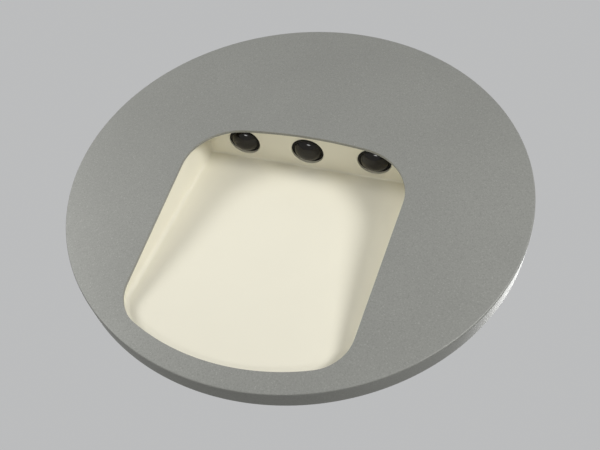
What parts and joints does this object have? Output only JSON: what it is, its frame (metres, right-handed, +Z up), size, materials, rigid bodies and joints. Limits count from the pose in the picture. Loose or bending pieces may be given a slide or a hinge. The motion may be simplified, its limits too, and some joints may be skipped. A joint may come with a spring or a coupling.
{
  "type": "recessed outdoor wall light",
  "caption": "Round recessed wall light with a grey faceplate, a cream scoop reflector lit by domed lenses in its roof, and sprung clips that hold it in a wall.",
  "frame": {"origin": "where the faceplate's axis meets the wall's face", "axes": "+Z up the wall, +Y into the wall, +X to the right of someone who faces the light"},
  "size_m": [0.15, 0.063, 0.15],
  "materials": {
    "face_coat": "matt silver-grey powder coat with a fine sparkle",
    "cream_plastic": "satin cream moulding",
    "dark_lens": "polished dark dome",
    "black_plastic": "moulded",
    "white_plastic": "moulded",
    "rubber": "matt",
    "cast_aluminium": "die-cast, fine grain",
    "aluminium": "extruded",
    "steel": "zinc plated",
    "brass": "tinned",
    "board": "white solder mask",
    "emitter": "phosphor under a clear dome",
    "thermal_pad": "matt",
    "lead_red": "insulation",
    "lead_black": "insulation",
    "lead_brown": "insulation",
    "lead_blue": "insulation",
    "lead_green": "insulation"
  },
  "bodies": {
    "root": {"faceplate": "face_coat", "wall_gasket": "rubber", "reflector": "cream_plastic", "lens_left": "dark_lens", "lens_centre": "dark_lens", "lens_right": "dark_lens", "lens_bezel_left": "black_plastic", "lens_bezel_centre": "black_plastic", "lens_bezel_right": "black_plastic", "lens_seal_left": "rubber", "lens_seal_centre": "rubber", "lens_seal_right": "rubber", "led_left": "emitter", "led_centre": "emitter", "led_right": "emitter", "led_board": "board", "led_connector": "white_plastic", "thermal_pad": "thermal_pad", "heat_sink": "aluminium", "heat_sink_screw_left": "steel", "heat_sink_screw_right": "steel", "housing": "cast_aluminium", "housing_seal": "rubber", "assembly_screw_1": "steel", "assembly_screw_2": "steel", "assembly_screw_3": "steel", "assembly_screw_4": "steel", "driver": "black_plastic", "driver_screw_left": "steel", "driver_screw_right": "steel", "terminal_block": "white_plastic", "earth_tag": "brass", "earth_screw": "steel", "led_lead_red": "lead_red", "led_lead_black": "lead_black", "supply_lead_brown": "lead_brown", "supply_lead_blue": "lead_blue", "earth_lead": "lead_green", "gland_body": "black_plastic", "gland_nut": "black_plastic", "gland_washer": "rubber", "gland_cap": "black_plastic", "gland_grip_ring": "rubber", "bracket_left": "steel", "bracket_right": "steel", "bracket_screw_left_front": "steel", "bracket_screw_left_rear": "steel", "bracket_screw_right_front": "steel", "bracket_screw_right_rear": "steel", "pivot_pin_left": "steel", "pivot_pin_right": "steel", "spring_left": "steel", "spring_right": "steel"},
    "clip_left": {"arm_left": "black_plastic", "arm_tip_left": "rubber"},
    "clip_right": {"arm_right": "black_plastic", "arm_tip_right": "rubber"}
  },
  "joints": [
    {"name": "clip_left_hinge", "type": "hinge", "parent": "root", "child": "clip_left", "pos_m": [-0.0566, 0.02, 0], "axis": [0, 0, -1], "range_deg": [0, 132], "stiffness_Nm_per_rad": 0.06, "springref_deg": -34.38, "deforming": ["spring_left"]},
    {"name": "clip_right_hinge", "type": "hinge", "parent": "root", "child": "clip_right", "pos_m": [0.0566, 0.02, 0], "axis": [0, 0, 1], "range_deg": [0, 132], "stiffness_Nm_per_rad": 0.06, "springref_deg": -34.38, "deforming": ["spring_right"]}
  ]
}
